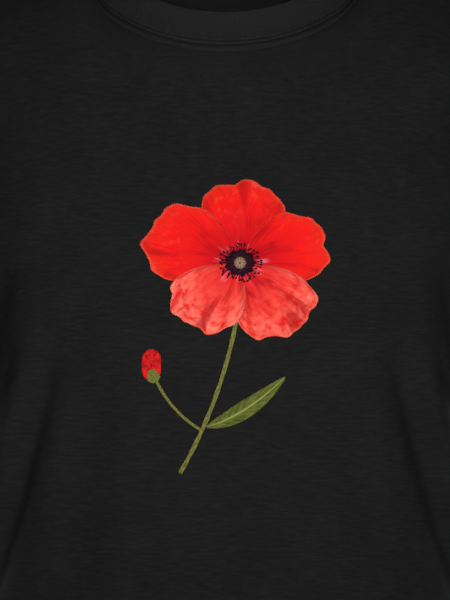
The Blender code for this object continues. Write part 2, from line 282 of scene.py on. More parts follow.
# The wearer's trunk and upper arms as one smooth closed form
def makeBodyForm():
    m = dict(mesh, halfColumns=14, neckColumns=8, bodyRows=16, armholeRows=5, yokeRows=6)
    indices = weldedIndices(dict(m, sleeveRows=0))
    frontGrid, backGrid = wornPanel(bodyForm, front, m), wornPanel(bodyForm, back, m)
    points = pointsOf((frontGrid, backGrid), indices[:2], indices[4])
    faces = np.concatenate((quads(indices[0]), quads(indices[1], flip=True)))
    data = meshOf("bodyForm", points, faces)
    grown = bmesh.new()
    grown.from_mesh(data)
    bmesh.ops.remove_doubles(grown, verts=grown.verts, dist=0.0001)
    bmesh.ops.delete(grown, geom=[v for v in grown.verts if not v.link_faces], context="VERTS")
    bmesh.ops.recalc_face_normals(grown, faces=grown.faces)
    for v in grown.verts:  # stays clear under the shoulders
        v.co.z -= skin["clear"]
    bmesh.ops.holes_fill(grown, edges=grown.edges, sides=0)
    for sign in (1, -1):
        axis, up = (Vector(way * (sign, 1, 1)) for way in armWays(worn["sleeveSlope"]))
        joint = Vector((sign * worn["shoulderTip"][0], 0, worn["shoulderTip"][1])) - up * upperArm["drop"]
        turn = Vector((0, 0, 1)).rotation_difference(axis).to_matrix().to_4x4()
        arm = bmesh.ops.create_cone(grown, cap_ends=True, segments=upperArm["sides"], depth=upperArm["length"],
                                    radius1=upperArm["radius"], radius2=upperArm["endRadius"])
        bmesh.ops.transform(grown, matrix=turn, verts=arm["verts"])
        bmesh.ops.translate(grown, vec=joint + axis * (upperArm["length"] / 2), verts=arm["verts"])
        ball = bmesh.ops.create_uvsphere(grown, u_segments=upperArm["sides"], v_segments=upperArm["rings"],
                                         radius=upperArm["radius"])
        bmesh.ops.translate(grown, vec=joint, verts=ball["verts"])
    bmesh.ops.triangulate(grown, faces=grown.faces)
    grown.to_mesh(data)
    grown.free()
    form = newObject("bodyForm", data)
    remesh = form.modifiers.new("one skin", "REMESH")
    remesh.mode = "VOXEL"
    remesh.voxel_size = skin["grain"]
    smooth = form.modifiers.new("round", "SMOOTH")
    smooth.factor = skin["smoothing"]
    smooth.iterations = skin["rounds"]
    data = appliedMesh(form)
    form.modifiers.clear()
    form.data = data
    return form


drape = {"frames": 40, "steps": 6, "mass": 0.02, "tension": 25, "shear": 12, "bending": 0.03, "air": 1.5,
         "gap": 0.003, "bodyGap": 0.002, "friction": 8, "calming": 3}


# Sews the pieces into one cloth whose rest shape is the flat pattern, and lets it settle on the body form
def drapeShirt():
    *indices, total = weldedIndices(mesh)
    frontIndex, backIndex, leftIndex, rightIndex = indices
    points = pointsOf(allGrids(worn, mesh), indices, total)
    flat = pointsOf(allFlatGrids(mesh), indices, total)
    faces = np.concatenate((quads(frontIndex), quads(backIndex, flip=True),
                            quads(leftIndex, closed=True, flip=True), quads(rightIndex, closed=True)))
    used = np.unique(faces)
    renumber = np.full(total, -1)
    renumber[used] = np.arange(len(used))
    cloth = newObject("cloth", meshOf("cloth", points[used], renumber[faces]))
    cloth.shape_key_add(name="worn")
    laid = cloth.shape_key_add(name="flat")
    laid.data.foreach_set("co", flat[used].astype(np.float32).ravel())
    pinned = cloth.vertex_groups.new(name="neck seam")
    neck = slice(mesh["halfColumns"] - mesh["neckColumns"], mesh["halfColumns"] + mesh["neckColumns"] + 1)
    seam = renumber[np.unique(np.concatenate((frontIndex[-1, neck], backIndex[-1, neck])))]
    pinned.add([int(i) for i in seam], 1, "REPLACE")
    form = makeBodyForm()
    form.modifiers.new("collision", "COLLISION")
    form.collision.thickness_outer = drape["bodyGap"]
    form.collision.cloth_friction = drape["friction"]
    sim = cloth.modifiers.new("drape", "CLOTH")
    sim.settings.rest_shape_key = laid
    sim.settings.vertex_group_mass = pinned.name
    for name, value in (("quality", "steps"), ("mass", "mass"), ("air_damping", "air"),
                        ("tension_stiffness", "tension"), ("compression_stiffness", "tension"),
                        ("shear_stiffness", "shear"), ("bending_stiffness", "bending")):
        setattr(sim.settings, name, drape[value])
    sim.collision_settings.distance_min = drape["gap"]
    sim.collision_settings.collision_quality = 2
    sim.point_cache.frame_end = drape["frames"]
    scene = bpy.context.scene
    scene.frame_start = 1
    scene.frame_end = drape["frames"]
    for moment in range(1, drape["frames"] + 1):
        scene.frame_set(moment)
    evaluated = cloth.evaluated_get(bpy.context.evaluated_depsgraph_get())
    rested = np.zeros((total, 3))
    rested[used] = np.array([v.co for v in evaluated.data.vertices])
    for made in (cloth, form):
        bpy.data.objects.remove(made, do_unlink=True)
    scene.frame_set(1)
    return [rested[index] for index in indices]


# Smooth curves through the rows of a grid, read at any places between them, calm where rows crowd
def between(grid, places, closed=False):
    count = len(grid)
    if closed:
        padded = np.concatenate((grid[-1:], grid, grid[:2]))
    else:
        padded = np.concatenate((2 * grid[:1] - grid[1:2], grid, 2 * grid[-1:] - grid[-2:-1]))
    steps = np.diff(padded, axis=0)
    lengths = np.maximum(np.linalg.norm(steps, axis=-1, keepdims=True), 1e-6)
    slopes = steps / lengths
    ways = (slopes[:-1] * lengths[1:] + slopes[1:] * lengths[:-1]) / (lengths[:-1] + lengths[1:])
    cell = np.minimum(places.astype(int), count - (1 if closed else 2))
    t = (places - cell).reshape(-1, *[1] * (grid.ndim - 1))
    length = lengths[cell + 1]
    following = (cell + 1) % len(ways)
    return hermite(padded[cell + 1], ways[cell] * length, padded[cell + 2], ways[following] * length, t)


# Places along a grid's side, finer in its first and last cells, where the seams are
def finePlaces(cells, split, first, firstSplit, last, lastSplit):
    parts = (np.arange(first * firstSplit) / firstSplit,
             np.arange((cells - first - last) * split) / split + first,
             np.arange(last * lastSplit + 1) / lastSplit + cells - last)
    return np.concatenate(parts)


def refined(grid, rowPlaces, columnPlaces, closed=False):
    tall = between(grid, rowPlaces)
    wide = between(np.swapaxes(tall, 0, 1), columnPlaces, closed)
    return np.swapaxes(wide, 0, 1)


def facing(grid, closed=False, flip=False):
    rowWay = np.gradient(grid, axis=0)
    columnWay = (np.roll(grid, -1, 1) - np.roll(grid, 1, 1)) if closed else np.gradient(grid, axis=1)
    normal = unit(np.cross(columnWay, rowWay))
    return -normal if flip else normal


# How far each point lies along its row or column from the first one, and from the last one
def runs(grid, axis):
    steps = np.linalg.norm(np.diff(grid, axis=axis), axis=2)
    start = np.zeros_like(np.take(steps, [0], axis=axis))
    fromFirst, fromLast = (np.concatenate((start, np.cumsum(s, axis=axis)), axis=axis)
                           for s in (steps, np.flip(steps, axis)))
    return fromFirst, np.flip(fromLast, axis)


# How far each point is from a line, up to a metre
def nearLine(points, line):
    flat = points.reshape(-1, 3)
    best = np.full(len(flat), 1.0)
    for a, b in zip(line[:-1], line[1:]):
        way = b - a
        t = np.clip((flat - a) @ way / (way @ way), 0, 1)[:, None]
        best = np.minimum(best, np.linalg.norm(flat - a - way * t, axis=1))
    return best.reshape(points.shape[:-1])


# A bump, one high where the values are zero, that falls away over its width
def bell(values, width):
    return np.exp(-((values / width) ** 2))


# How far values have come from low to high, gently at both ends
def softStep(values, low, high):
    t = np.clip((values - low) / (high - low), 0, 1)
    return t * t * (3 - 2 * t)


# Blurs values over a grid along one axis, each neighbour counting by its nearness
def calmed(values, grid, axis, closed):
    behind = np.linalg.norm(grid - np.roll(grid, 1, axis), axis=2, keepdims=True)
    ahead = np.roll(behind, -1, axis)
    around = (np.roll(values, 1, axis) * ahead + np.roll(values, -1, axis) * behind) / (behind + ahead)
    calm = values * 0.5 + around * 0.5
    if not closed:
        ends = (slice(None), [0, -1]) if axis else [0, -1]
        calm[ends] = values[ends]
    return calm


easing = {"rounds": 10, "reach": 6, "sideFade": 4, "topFade": 2}


# Evens out a panel's grid where its lines turn: below the neck's corner and level with the underarm
def eased(grid):
    row = np.arange(len(grid), dtype=float)[:, None, None]
    column = np.arange(grid.shape[1], dtype=float)[None, :, None]
    last, yoke = len(grid) - 1, len(grid) - 1 - mesh["yokeRows"]
    fromSide = np.minimum(column, grid.shape[1] - 1 - column)
    e = easing
    below = softStep(row, yoke - e["reach"], yoke) * softStep(-row, -last, e["topFade"] - last)
    level = softStep(-np.abs(row - mesh["bodyRows"]), -e["reach"], -1) * softStep(fromSide, 0, e["sideFade"])
    for _ in range(e["rounds"]):
        grid = grid + (calmed(grid, grid, 1, False) - grid) * below
        grid = grid + (calmed(grid, grid, 0, False) - grid) * level
    return grid


# Where a field first passes a value along each column, as a line of points
def lineAt(grid, field, value, columns):
    line = []
    for c in columns:
        passed = np.nonzero((field[:-1, c] - value) * (field[1:, c] - value) <= 0)[0]
        if len(passed):
            r = passed[0]
            t = (value - field[r, c]) / (field[r + 1, c] - field[r, c])
            line.append(grid[r, c] * (1 - t) + grid[r + 1, c] * t)
    return np.array(line)


# A grid of flat places from the places across it and up it
def gridOf(across, up):
    return np.stack(np.broadcast_arrays(np.reshape(across, (1, -1)), np.reshape(up, (-1, 1))), axis=-1)


# A mesh whose UV is its flat pattern in metres, with the place of each corner in it
def unfolded(name, points, faces, uv, corners):
    data = meshOf(name, points, faces)
    flat = data.uv_layers.new(name="flat")
    flat.data.foreach_set("uv", uv.reshape(-1, 2)[corners.ravel()].astype(np.float32).ravel())
    return newObject(name, data)


# A closed shell of cloth between an outer and an inner grid
def clothMesh(name, outer, inner, uv, closed=False, flip=False):
    rows, columns = outer.shape[:2]
    wide = uv.shape[1]
    r, c = np.mgrid[0:rows - 1, 0:wide - 1]
    a, b = r * wide + c, r * wide + c + 1
    d, e = a + wide, b + wide
    under = rows * wide
    faces = [np.stack((a, b, e, d), axis=-1).reshape(-1, 4)]
    faces.append(faces[0][:, ::-1] + under)
    edges = [(b[0], a[0]), (d[-1], e[-1])]
    if not closed:
        edges += [(a[:, 0], d[:, 0]), (e[:, -1], b[:, -1])]
    faces += [np.stack((first, second, second + under, first + under), axis=-1) for first, second in edges]
    faces = np.concatenate(faces)
    if flip:
        faces = faces[:, ::-1]
    layer, place = faces // under, faces % under
    vertex = layer * rows * columns + place // wide * columns + place % wide % columns
    return unfolded(name, np.concatenate((outer.reshape(-1, 3), inner.reshape(-1, 3))), vertex, uv, place)


cloth = {
    "thickness": 0.0009, "hemThickness": 0.0018, "hemWidth": 0.022, "hemStep": 0.001, "foldFromSide": 0.03,
    "seamDip": 0.0007, "seamReach": 0.0016,
    "neckBand": 0.0044, "neckBandLift": 0.0010, "neckBandRise": (0.0002, 0.0016),
    "neckBandFall": (-0.0012, 0.0004), "topstitch": 0.0054, "channelWidth": 0.0008,
    "channelDepth": 0.0004, "hemStitches": (0.002, 0.007), "sleeveRound": 0.40, "split": 3,
    # first cells and how often each is split, last cells and how often each is split
    "panelRows": (3, 4, 2, 9), "panelColumns": (1, 6, 1, 6), "sleeveRows": (1, 7, 3, 5),
}
foldFade = 0.15  # a fold dies out over this share of its length beyond each end
# Folds that hang from the bust and the armpit: start and end as (x, z), half width, height
folds = {
    front: (((0.119, -0.290), (0.209, -0.612), 0.0098, -0.0088),
            ((0.137, -0.292), (0.231, -0.612), 0.0140, 0.0060),
            ((0.147, -0.275), (0.178, -0.440), 0.0080, -0.0050),
            ((0.158, -0.222), (0.196, -0.410), 0.0180, -0.0130),
            ((0.078, -0.290), (0.128, -0.600), 0.0160, -0.0030)),
    back: (((0.100, -0.330), (0.170, -0.660), 0.0120, -0.0080),
           ((0.124, -0.320), (0.200, -0.640), 0.0160, 0.0060),
           ((0.150, -0.200), (0.150, -0.300), 0.0120, -0.0060)),
}


def foldHeight(grid, side):
    height = np.zeros(grid.shape[:2])
    place = np.stack((np.abs(grid[:, :, 0]), grid[:, :, 2]), axis=-1)
    for start, end, halfWidth, size in folds[side]:
        start, end = np.array(start), np.array(end)
        way = end - start
        offset = place - start
        along = offset @ way / (way @ way)
        across = offset @ np.array((way[1], -way[0])) / np.linalg.norm(way)
        fade = softStep(np.minimum(along + foldFade, 1 + foldFade - along), 0, 2 * foldFade)
        height += size * bell(across, halfWidth) * fade
    return height


# The cloth below an outer surface, doubled where the hem is turned up
def lining(outer, out, fromHem):
    hem = softStep(-fromHem, -cloth["hemWidth"] - cloth["hemStep"], -cloth["hemWidth"])
    thick = cloth["thickness"] + (cloth["hemThickness"] - cloth["thickness"]) * hem
    return outer - out * thick[:, :, None]


def hemRows(outer, fromHem, columns):
    return [lineAt(outer, fromHem, cloth["hemWidth"] - inset, columns) for inset in cloth["hemStitches"]]


def makePanel(name, side, grid, flatGrid):
    cells = len(grid) - 1
    rowPlaces = finePlaces(cells, cloth["split"], *cloth["panelRows"])
    columnPlaces = finePlaces(2 * mesh["halfColumns"], cloth["split"], *cloth["panelColumns"])
    fine = refined(grid, rowPlaces, columnPlaces)
    uv = refined(eased(flatGrid), rowPlaces, columnPlaces)[:, :, [0, 2]]
    flip = side == back
    fromSide = np.minimum(*runs(fine, 1))
    fromHem, fromTop = runs(fine, 0)
    folded = foldHeight(fine, side) * softStep(fromSide, 0, cloth["foldFromSide"])
    fine = fine + facing(fine, flip=flip) * folded[:, :, None]
    neckColumns = np.nonzero(np.abs(columnPlaces - mesh["halfColumns"]) <= mesh["neckColumns"])[0]
    seam = fine[-1, neckColumns]
    fromNeck = nearLine(fine, seam[::2])
    fall = (step - cloth["neckBand"] for step in cloth["neckBandFall"])
    band = softStep(fromNeck, *cloth["neckBandRise"]) * softStep(-fromNeck, *fall)
    channel = bell(fromNeck - cloth["topstitch"], cloth["channelWidth"]) * cloth["channelDepth"]
    dips = bell(fromSide, cloth["seamReach"]) + bell(fromTop, cloth["seamReach"])
    lift = band * cloth["neckBandLift"] - channel - np.minimum(dips, 1) * cloth["seamDip"]
    out = facing(fine, flip=flip)
    outer = fine + out * lift[:, :, None]
    made = clothMesh(name, outer, lining(outer, out, fromHem), uv, flip=flip)
    everyColumn = range(2, len(columnPlaces) - 2)
    neckRow = lineAt(outer[::-1], fromNeck[::-1], cloth["topstitch"], neckColumns)
    return made, outer, hemRows(outer, fromHem, everyColumn) + [neckRow]


def makeSleeve(name, grid, sign):
    cells, ring = len(grid) - 1, grid.shape[1]
    rowPlaces = finePlaces(cells, cloth["split"], *cloth["sleeveRows"])
    columnPlaces = np.arange(ring * cloth["split"]) / cloth["split"]
    fine = refined(grid, rowPlaces, columnPlaces, closed=True)
    flip = sign > 0
    fromArmhole, fromHem = runs(fine, 0)
    lift = -bell(fromArmhole, cloth["seamReach"]) * cloth["seamDip"]
    out = facing(fine, closed=True, flip=flip)
    outer = fine + out * lift[:, :, None]
    around = (np.arange(ring * cloth["split"] + 1) / (ring * cloth["split"]) - 0.5) * cloth["sleeveRound"]
    along = rowPlaces / cells * pattern["sleeveLength"]
    uv = gridOf(around, -along)
    made = clothMesh(name, outer, lining(outer, out, fromHem), uv, closed=True, flip=flip)
    return made, hemRows(outer[::-1], fromHem[::-1], [*range(len(columnPlaces)), 0])


neckband = {
    "width": 0.023, "thickness": 0.0020, "lean": {front: 0.32, back: 0.25}, "sideLean": 0.8,
    "ribPitch": 0.0021, "ribDepth": 0.00018, "pointsPerRib": 5, "roll": 0.0008, "rollWidth": 0.0024,
    "rounding": 0.05, "groove": 0.0006, "grooveWidth": 0.0005, "grooveGap": 0.0003,
    "quiet": 0.35,  # how much of the ribs is left in the roll
    "samples": 1440, "blur": 12, "seamRows": (-0.0004, 0.0044, 14), "upperRows": (0.006, 7),
}
tape = {"width": 0.011, "thickness": 0.0008, "gap": 0.0005, "reach": 0.7, "halfLength": 0.10, "onRib": 0.3,
        "columns": 160, "across": 12}


# Where a share of the way round the neck lies: its turn from the centre line, its side, and its sign in X
def quarter(share):
    angle = share * 2 * math.pi
    side = front if math.cos(angle) >= 0 else back
    turn = abs(math.asin(max(-1, min(1, math.sin(angle))))) / (math.pi / 2)
    return turn, side, math.copysign(1, math.sin(angle))


def ribWay(turn, side):
    angle = turn * math.pi / 2
    lean = -side * neckband["lean"][side] * math.cos(angle)
    return unit(np.array((-neckband["sideLean"] * math.sin(angle), lean, 1.0)))


# A closed line of points, each blurred with its neighbours within reach
def softened(line, reach):
    window = np.hanning(2 * reach + 1)
    return sum(np.roll(line, i - reach, 0) * weight for i, weight in enumerate(window)) / window.sum()


# The neck seam as an even ring of points, and the way the rib stands from it
def neckRing(count):
    points, ways = [], []
    for share in np.arange(neckband["samples"]) / neckband["samples"]:
        turn, side, mirror = quarter(share)
        points.append(neckPoint(worn, turn, side) * (mirror, 1, 1))
        ways.append(ribWay(turn, side) * (mirror, 1, 1))
    points, ways = np.array(points), np.array(ways)
    points, ways = softened(points, neckband["blur"]), unit(softened(ways, neckband["blur"]))
    ringed = np.concatenate((points, points[:1]))
    along = np.concatenate(([0], np.cumsum(np.linalg.norm(np.diff(ringed, axis=0), axis=1))))
    wanted = np.arange(count) / count * along[-1]
    picked = [np.stack([np.interp(wanted, along, np.append(line[:, i], line[0, i])) for i in range(3)], axis=1)
              for line in (points, ways)]
    return picked[0], unit(picked[1]), along[-1]


def makeNeckband():
    n = neckband
    ribs = 2 * round(neckRing(8)[2] / n["ribPitch"] / 2)
    count = ribs * n["pointsPerRib"]
    seam, way, length = neckRing(count)
    tangent = unit(np.roll(seam, -1, 0) - np.roll(seam, 1, 0))
    out = unit(np.cross(way, tangent))
    if out[0, 1] > 0:  # out of the front is towards -Y
        out = -out
    rounded = softened(seam, round(count * n["rounding"]))
    half = n["thickness"] / 2
    fold = n["width"] - half
    start, upperRows = n["upperRows"]
    profile = [(h, 0.0) for h in (*np.linspace(*n["seamRows"]), *np.linspace(start, fold, upperRows))]
    profile += [(fold + half * math.sin(a), -half + half * math.cos(a)) for a in np.linspace(0, math.pi, 7)[1:]]
    profile += [(h, -n["thickness"]) for h in np.linspace(fold, 0.0, 8)[1:]]
    phase = np.cos(np.arange(count) / n["pointsPerRib"] * 2 * math.pi)
    rows = []
    for height, offset in profile:
        outside = 1 if offset == 0 else 0
        roll = outside * n["roll"] * bell(height - n["rollWidth"] / 2, n["rollWidth"] / 2.6)
        groove = outside * n["groove"] * bell(height - n["rollWidth"] - n["grooveGap"], n["grooveWidth"])
        relief = n["ribDepth"] * phase * (1 if offset > -half else -1) * (n["quiet"] if roll > 0.0001 else 1)
        share = min(max(height / n["width"], 0), 1)
        off = (offset + roll - groove + relief)[:, None]
        rows.append(seam + (rounded - seam) * share + way * height + out * off)
    high = np.cumsum([0] + [math.dist(a, b) for a, b in zip(profile, profile[1:])])
    return loopMesh("neckband_rib", np.array(rows), gridOf(np.arange(count + 1) / count * length, high))


# A tube whose section is a closed line of rows, going round a ring of columns
def loopMesh(name, grid, uv):
    rows, columns = grid.shape[:2]
    r, c = np.mgrid[0:rows, 0:columns]
    below, above, right = r, (r + 1) % rows, (c + 1) % columns
    below, above = below * columns, above * columns
    vertex = np.stack((below + c, below + right, above + right, above + c), axis=-1)
    wide = columns + 1
    aboveUv = np.minimum(r + 1, rows - 1)
    place = np.stack((r * wide + c, r * wide + c + 1, aboveUv * wide + c + 1, aboveUv * wide + c), axis=-1)
    return unfolded(name, grid.reshape(-1, 3), vertex.reshape(-1, 4), uv, place)


def makeNeckTape():
    t = tape
    columns, across = t["columns"], t["across"]
    outer, inner = [], []
    for i in range(-columns, columns + 1):
        turn, mirror = abs(i) / columns * t["reach"], math.copysign(1, i)
        seam = neckPoint(worn, turn, back)
        rib, panel = ribWay(turn, back), panelWay(worn, turn, back)
        along = neckPoint(worn, min(turn + 0.01, 1), back) - neckPoint(worn, turn - 0.01, back)
        offs = []
        for way in (rib, panel):
            normal = unit(np.cross(along, way))
            offs.append(normal if normal @ np.array((0, -1, -0.5)) > 0 else -normal)
        gap = neckband["thickness"] + t["gap"]
        corner = offs[0] + offs[1]
        corner = corner * gap / (corner @ offs[0])
        line = np.array((seam + rib * t["width"] * t["onRib"] + offs[0] * gap, seam + corner,
                         seam - panel * t["width"] * (1 - t["onRib"]) + offs[1] * gap))
        smooth = between(line, np.linspace(0, 2, across))
        off = unit(np.linspace(0, 1, across)[:, None] * (offs[1] - offs[0]) + offs[0])
        outer.append((smooth + off * t["thickness"]) * (mirror, 1, 1))
        inner.append(smooth * (mirror, 1, 1))
    outer, inner = np.swapaxes(np.array(outer), 0, 1), np.swapaxes(np.array(inner), 0, 1)
    wide = np.linspace(-t["halfLength"], t["halfLength"], outer.shape[1])
    high = np.linspace(0, t["width"], across)
    uv = gridOf(wide, high)
    return clothMesh("neck_tape_twill", outer, inner, uv, flip=True)


# The print: thin films of ink laid on the chest
ink = {"thickness": 0.00006, "lift": 0.00008, "layer": 0.00008, "castFrom": -0.4, "heart": 0.03}
bloom = {
    "centre": (0.010, -0.220), "squash": 0.88, "halfAngle": 50, "roundness": 2.6,
    "sidePoints": (-0.992, 0.992, 57), "rows": 34,
    # degrees, length, layer, tone from deep to coral, for each petal
    "petals": ((88, 0.062, 0, 0.02), (18, 0.060, 1, -0.10), (158, 0.066, 2, -0.04), (306, 0.063, 3, 0.60),
               (232, 0.058, 4, 0.74)),
    "eyeRadius": 0.0098, "podRadius": 0.0043, "stamens": 46, "stamenStart": 0.0075,
    "stamenReach": (0.0108, 0.0148), "scatter": 0.35, "bend": 0.10, "filamentHalfWidth": 0.00022,
    "antherRadius": (0.00055, 0.0009),
}
stem = {"line": ((0.0098, -0.246), (0.000, -0.308), (-0.030, -0.360)), "halfWidth": 0.0014}
leaf = {"line": ((-0.0125, -0.3290), (0.012, -0.323), (0.040, -0.296)), "halfWidth": 0.0055}
stalk = {"line": ((-0.0146, -0.3320), (-0.036, -0.320), (-0.0470, -0.296)), "halfWidth": 0.00098}
calyx = {"line": ((-0.0462, -0.2995), (-0.0480, -0.2955), (-0.0492, -0.2905)), "halfWidth": 0.0046}
bud = {"centre": (-0.049, -0.288), "radius": 0.0085}


def chestTree(outer):
    rows, columns = outer.shape[:2]
    index = np.arange(rows * columns).reshape(rows, columns)
    return BVHTree.FromPolygons(outer.reshape(-1, 3).tolist(), quads(index).tolist())


# A flat grid of (x, z) points laid on the chest as a film of ink; a round one has one more column in its UV
def layInk(name, chest, drawn, layer, flip=False):
    flat, uv = (np.array(grid) for grid in drawn)
    closed = uv.shape[1] > flat.shape[1]
    low, high = np.zeros((2, *flat.shape[:2], 3))
    for index in np.ndindex(*flat.shape[:2]):
        x, z = flat[index]
        place, normal = chest.ray_cast(Vector((x, ink["castFrom"], z)), Vector((0, 1, 0)))[:2]
        off = ink["lift"] + layer * ink["layer"]
        low[index] = place + normal * off
        high[index] = place + normal * (off + ink["thickness"])
    return clothMesh(name, high, low, uv, closed=closed, flip=flip or closed)


# Points at a reach and an angle from a centre
def aimed(centre, reach, angle, squash):
    return np.stack((centre[0] + reach * np.cos(angle), centre[1] + reach * np.sin(angle) * squash), axis=-1)


# The uneven edge of a petal
def ragged(angle):
    return 1 + 0.025 * np.cos(13 * angle) + 0.015 * np.sin(22 * angle) + 0.006 * np.sin(41 * angle + 1)


def makePetal(chest, number):
    degrees, length, layer, tone = bloom["petals"][number]
    part = np.linspace(*bloom["sidePoints"])[None, :]
    share = np.linspace(ink["heart"], 1, bloom["rows"])[:, None]
    angle = math.radians(degrees) + part * math.radians(bloom["halfAngle"])
    reach = length * np.sqrt(1 - np.abs(part) ** bloom["roundness"]) * ragged(angle) * share
    flat = aimed(bloom["centre"], reach, angle, bloom["squash"])
    drawn = flat, gridOf(part * 0.5 + 0.5 + number, share)
    made = layInk(f"petal_{number + 1}", chest, drawn, layer, flip=True)
    shade = made.data.attributes.new("tone", "FLOAT", "POINT")
    shade.data.foreach_set("value", np.full(len(made.data.vertices), tone, dtype=np.float32))
    return made


def roundGrid(centre, radiusAt, rings, spokes, squash=1.0):
    angle = (np.arange(spokes) / spokes * 2 * math.pi)[None, :]
    share = np.linspace(ink["heart"], 1, rings + 1)[:, None]
    flat = aimed(centre, radiusAt(angle) * share, angle, squash)
    return flat, gridOf(np.arange(spokes + 1) / spokes, share)


# A strip of ink along a curve that bends towards its middle point
def stripGrid(line, halfWidthAt, rows, columns=5):
    start, middle, end = (np.array(p) for p in line)
    t = np.linspace(0, 1, rows)[:, None]
    points = (1 - t) ** 2 * start + 2 * t * (1 - t) * middle + t * t * end
    way = unit(2 * (1 - t) * (middle - start) + 2 * t * (end - middle))
    across = np.stack((way[:, 1], -way[:, 0]), axis=1) * halfWidthAt(t)
    side = np.linspace(-1, 1, columns)
    flat = points[:, None, :] + across[:, None, :] * side[None, :, None]
    return flat, gridOf(side * 0.5 + 0.5, t)


def joined(name, parts):
    data = bmesh.new()
    for part in parts:
        data.from_mesh(part.data)
        bpy.data.objects.remove(part, do_unlink=True)
    made = bpy.data.meshes.new(name)
    data.to_mesh(made)
    data.free()
    made.shade_smooth()
    return newObject(name, made)


def makeStamens(chest):
    chance = np.random.default_rng(7)
    parts = []
    for i in range(bloom["stamens"]):
        angle = (i + chance.uniform(-bloom["scatter"], bloom["scatter"])) / bloom["stamens"] * 2 * math.pi
        start = bloom["stamenStart"]
        tip = chance.uniform(*bloom["stamenReach"])
        bend = chance.uniform(-bloom["bend"], bloom["bend"])
        line = [aimed(bloom["centre"], reach, a, bloom["squash"])
                for reach, a in ((start, angle), ((start + tip) / 2, angle + bend), (tip, angle))]
        parts.append(layInk("filament", chest, stripGrid(line, lambda t: bloom["filamentHalfWidth"], 6, 3), 6))
        size = chance.uniform(*bloom["antherRadius"])
        anther = roundGrid(line[2], lambda a: size * (1 + 0.2 * np.cos(2 * a + angle)), 1, 9)
        parts.append(layInk("anther", chest, anther, 6.5))
    return joined("flower_stamens", parts)


stitching = {"length": 0.0030, "radius": 0.00022, "covered": 0.40}


# Stretched beads of thread spaced along a line
def stitchTree():
    tree = bpy.data.node_groups.new("row of stitches", "GeometryNodeTree")
    for name, kind in (("Geometry", "Geometry"), ("Stitch length", "Float"), ("Thread radius", "Float"),
                       ("Covered", "Float"), ("Thread", "Material")):
        tree.interface.new_socket(name, in_out="INPUT", socket_type=f"NodeSocket{kind}")
    tree.interface.new_socket("Geometry", in_out="OUTPUT", socket_type="NodeSocketGeometry")
    given = tree.nodes.new("NodeGroupInput").outputs
    add = partial(addNode, tree)
    curve = add("GeometryNodeMeshToCurve", {"Mesh": given["Geometry"]})
    spaced = add("GeometryNodeResampleCurve", {"Curve": curve, "Length": given["Stitch length"]}, mode="LENGTH")
    half = ("MULTIPLY", given["Stitch length"], given["Covered"])
    size = add("ShaderNodeCombineXYZ", {"X": given["Thread radius"], "Y": given["Thread radius"], "Z": half})
    bead = add("GeometryNodeMeshUVSphere", {"Segments": 8, "Rings": 6, "Radius": 1.0}, "Mesh")
    turn = add("FunctionNodeAlignRotationToVector", {"Vector": add("GeometryNodeInputTangent")}, axis="Z")
    placed = add("GeometryNodeInstanceOnPoints",
                 {"Points": spaced, "Instance": bead, "Rotation": turn, "Scale": size})
    real = add("GeometryNodeRealizeInstances", {"Geometry": placed})
    smooth = add("GeometryNodeSetShadeSmooth", {"Geometry": real})
    threaded = add("GeometryNodeSetMaterial", {"Geometry": smooth, "Material": given["Thread"]})
    tree.links.new(threaded, tree.nodes.new("NodeGroupOutput").inputs[0])
    return tree


# Rows of stitches along lines of points that lie on the cloth
def makeStitches(name, lines, tree, thread):
    ends = np.cumsum([len(line) for line in lines]) - 1
    edges = [(i, i + 1) for i in range(ends[-1]) if i not in ends]
    made = newObject(name, bpy.data.meshes.new(name))
    made.data.from_pydata(np.concatenate(lines).tolist(), edges, [])
    sew = made.modifiers.new("sew", "NODES")
    sew.node_group = tree
    values = {"Stitch length": stitching["length"], "Thread radius": stitching["radius"],
              "Covered": stitching["covered"], "Thread": thread}
    for item in tree.interface.items_tree:
        if item.in_out == "INPUT" and item.name in values:
            sew[item.identifier] = values[item.name]
    made.data = appliedMesh(made)
    made.modifiers.clear()
    return made


# A colour given as sRGB hex, made linear
def colour(text):
    shares = [int(text[i:i + 2], 16) / 255 for i in (1, 3, 5)]
    return tuple(c / 12.92 if c <= 0.04045 else ((c + 0.055) / 1.055) ** 2.4 for c in shares) + (1.0,)


# Adds a node with its settings, its colour stops and its values, and gives back one of its outputs. A value is
# a socket to link from, a number, a colour, or a sum: a tuple of an operation and its own values.
def addNode(tree, kind, inputs=None, output=0, stops=(), **settings):
    made = tree.nodes.new(kind)
    for name, value in settings.items():
        setattr(made, name, value)
    if stops:
        points = made.color_ramp.elements
        while len(points) < len(stops):
            points.new(1.0)
        for point, (place, shade) in zip(points, stops):
            point.position, point.color = place, colour(shade)
    for name, value in (inputs or {}).items():
        if isinstance(value, tuple) and isinstance(value[0], str):
            value = addNode(tree, "ShaderNodeMath", dict(enumerate(value[1:])), operation=value[0])
        if isinstance(value, bpy.types.NodeSocket):
            tree.links.new(value, made.inputs[name])
        else:
            made.inputs[name].default_value = colour(value) if isinstance(value, str) else value
    return made.outputs[output]


def newMaterial(name, **values):
    made = bpy.data.materials.new(name)
    made.use_nodes = True
    for key, value in values.items():
        made.node_tree.nodes["Principled BSDF"].inputs[key.replace("_", " ")].default_value = value
    return made, partial(addNode, made.node_tree)


# Where a pattern is read, with its parts: the flat pattern piece in metres, or the place on the shirt
def places(add, onPattern=True):
    place = add("ShaderNodeUVMap", uv_map="flat") if onPattern else add("ShaderNodeTexCoord", output="Object")
    return place, [add("ShaderNodeSeparateXYZ", {"Vector": place}, part) for part in "XYZ"]


